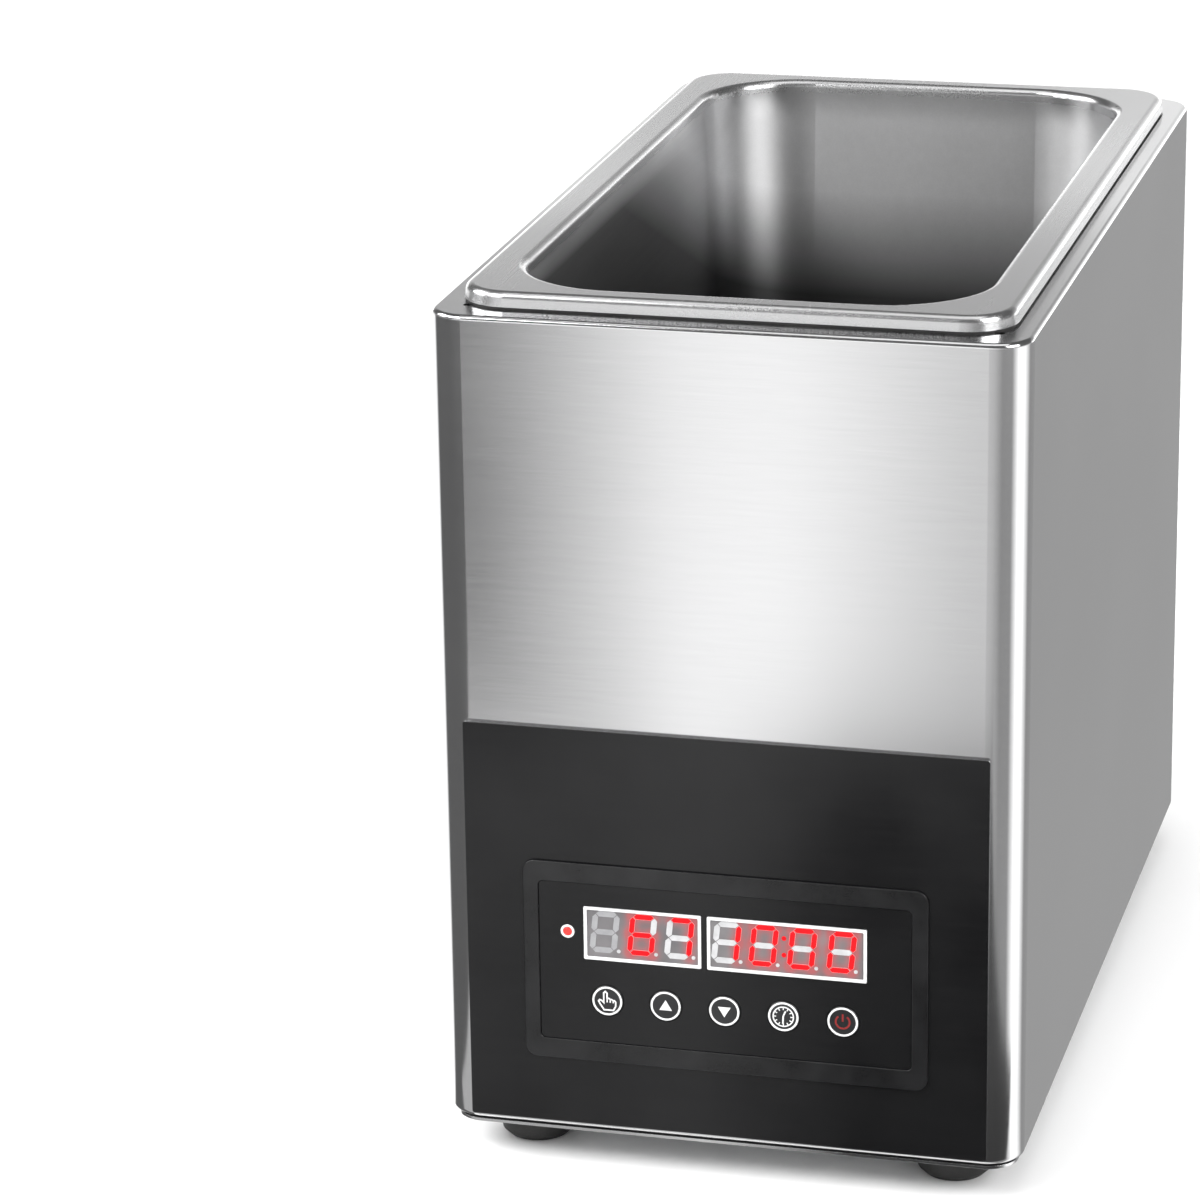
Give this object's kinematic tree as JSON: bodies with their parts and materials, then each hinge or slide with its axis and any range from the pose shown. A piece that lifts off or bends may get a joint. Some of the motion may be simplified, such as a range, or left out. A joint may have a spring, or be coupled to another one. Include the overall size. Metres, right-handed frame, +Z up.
{
  "type": "egg boiler",
  "caption": "Countertop electric egg boiler: stainless case with a drop-in gastronorm tank, front control module, lift-out guard plate over the element and rear drain valve.",
  "frame": {"origin": "on the standing plane under the feet, at the middle of the bounding box of the whole object, drain valve included", "axes": "+Z up, +Y to the back, so the control panel faces -Y, and +X to the right of someone who faces the panel"},
  "size_m": [0.19, 0.4214, 0.2902],
  "materials": {
    "case_steel": "satin sheet",
    "pan_steel": "drawn satin sheet",
    "element_steel": "annealed tube",
    "fitting_steel": "bright machined",
    "valve_nickel": "nickel-plated brass",
    "ball_chrome": "polished",
    "grip_red": "dipped vinyl",
    "rubber_black": "moulded",
    "seal_silicone": "moulded",
    "seat_white": "turned",
    "jacket_fibre": "felted blanket",
    "panel_black": "finely brushed dark film on sheet",
    "bezel_black": "moulded satin",
    "overlay_black": "fine matt film",
    "key_black": "satin with white print",
    "display_white": "moulded",
    "lamp_red": "clear moulded",
    "board_green": "coated laminate",
    "switch_black": "moulded",
    "transformer_steel": "varnished laminations",
    "gland_nylon": "moulded",
    "limit_nickel": "plated",
    "reset_red": "moulded",
    "bulb_copper": "drawn copper",
    "terminal_white": "moulded",
    "wire_sleeve": "glass-braided sleeve"
  },
  "bodies": {
    "cabinet": {"base_gasket": "rubber_black", "base_plate": "case_steel", "board_parts": "switch_black", "board_screws": "fitting_steel", "board_spacers": "fitting_steel", "bulb_clips": "fitting_steel", "case_nuts": "fitting_steel", "case_screws": "fitting_steel", "control_bezel": "bezel_black", "control_board": "board_green", "control_cover": "case_steel", "control_overlay": "overlay_black", "drain_pipe": "element_steel", "drain_spud": "fitting_steel", "element_bushes": "fitting_steel", "feet": "rubber_black", "flange_gasket": "rubber_black", "floor_nuts": "fitting_steel", "floor_seals": "seal_silicone", "foot_screws": "fitting_steel", "front_panel": "panel_black", "gland_body": "gland_nylon", "gland_cap": "gland_nylon", "gland_nut": "gland_nylon", "gland_seal": "rubber_black", "heating_element": "element_steel", "heating_lamp": "lamp_red", "housing_shell": "case_steel", "insulation_jacket": "jacket_fibre", "limit_bulb": "bulb_copper", "limit_nut": "limit_nickel", "limit_thermostat": "switch_black", "packing_nut": "valve_nickel", "panel_nuts": "fitting_steel", "power_board": "board_green", "power_relay": "switch_black", "power_transformer": "transformer_steel", "rear_panel": "case_steel", "tact_switches": "switch_black", "tank_pan": "pan_steel", "temperature_display": "display_white", "temperature_probe": "element_steel", "terminal_block": "terminal_white", "timer_display": "display_white", "valve_body": "valve_nickel", "valve_end": "valve_nickel", "valve_seats": "seat_white", "wiring": "wire_sleeve"},
    "set_key_body": {"set_key": "key_black"},
    "plus_key_body": {"plus_key": "key_black"},
    "minus_key_body": {"minus_key": "key_black"},
    "clock_key_body": {"clock_key": "key_black"},
    "power_key_body": {"power_key": "key_black"},
    "reset_button_body": {"reset_button": "reset_red"},
    "drain_lever_body": {"valve_ball": "ball_chrome", "valve_stem": "valve_nickel", "valve_lever": "fitting_steel", "lever_grip": "grip_red", "lever_nut": "fitting_steel"},
    "guard_plate_body": {"guard_plate": "pan_steel"}
  },
  "joints": [
    {"name": "set_key_press", "type": "slide", "parent": "cabinet", "child": "set_key_body", "axis": [0, 1, 0], "range_m": [0, 0.0004], "stiffness_N_per_m": 500},
    {"name": "plus_key_press", "type": "slide", "parent": "cabinet", "child": "plus_key_body", "axis": [0, 1, 0], "range_m": [0, 0.0004], "stiffness_N_per_m": 500},
    {"name": "minus_key_press", "type": "slide", "parent": "cabinet", "child": "minus_key_body", "axis": [0, 1, 0], "range_m": [0, 0.0004], "stiffness_N_per_m": 500},
    {"name": "clock_key_press", "type": "slide", "parent": "cabinet", "child": "clock_key_body", "axis": [0, 1, 0], "range_m": [0, 0.0004], "stiffness_N_per_m": 500},
    {"name": "power_key_press", "type": "slide", "parent": "cabinet", "child": "power_key_body", "axis": [0, 1, 0], "range_m": [0, 0.0004], "stiffness_N_per_m": 500},
    {"name": "reset_press", "type": "slide", "parent": "cabinet", "child": "reset_button_body", "axis": [0, -1, 0], "range_m": [0, 0.002], "stiffness_N_per_m": 600},
    {"name": "drain_valve_turn", "type": "hinge", "parent": "cabinet", "child": "drain_lever_body", "pos_m": [-0.031, 0.16575, 0.045], "axis": [0, 0, -1], "range_deg": [0, 90]},
    {"name": "guard_plate_lift", "type": "slide", "parent": "cabinet", "child": "guard_plate_body", "axis": [0, 0, 1], "range_m": [0, 0.25]}
  ]
}
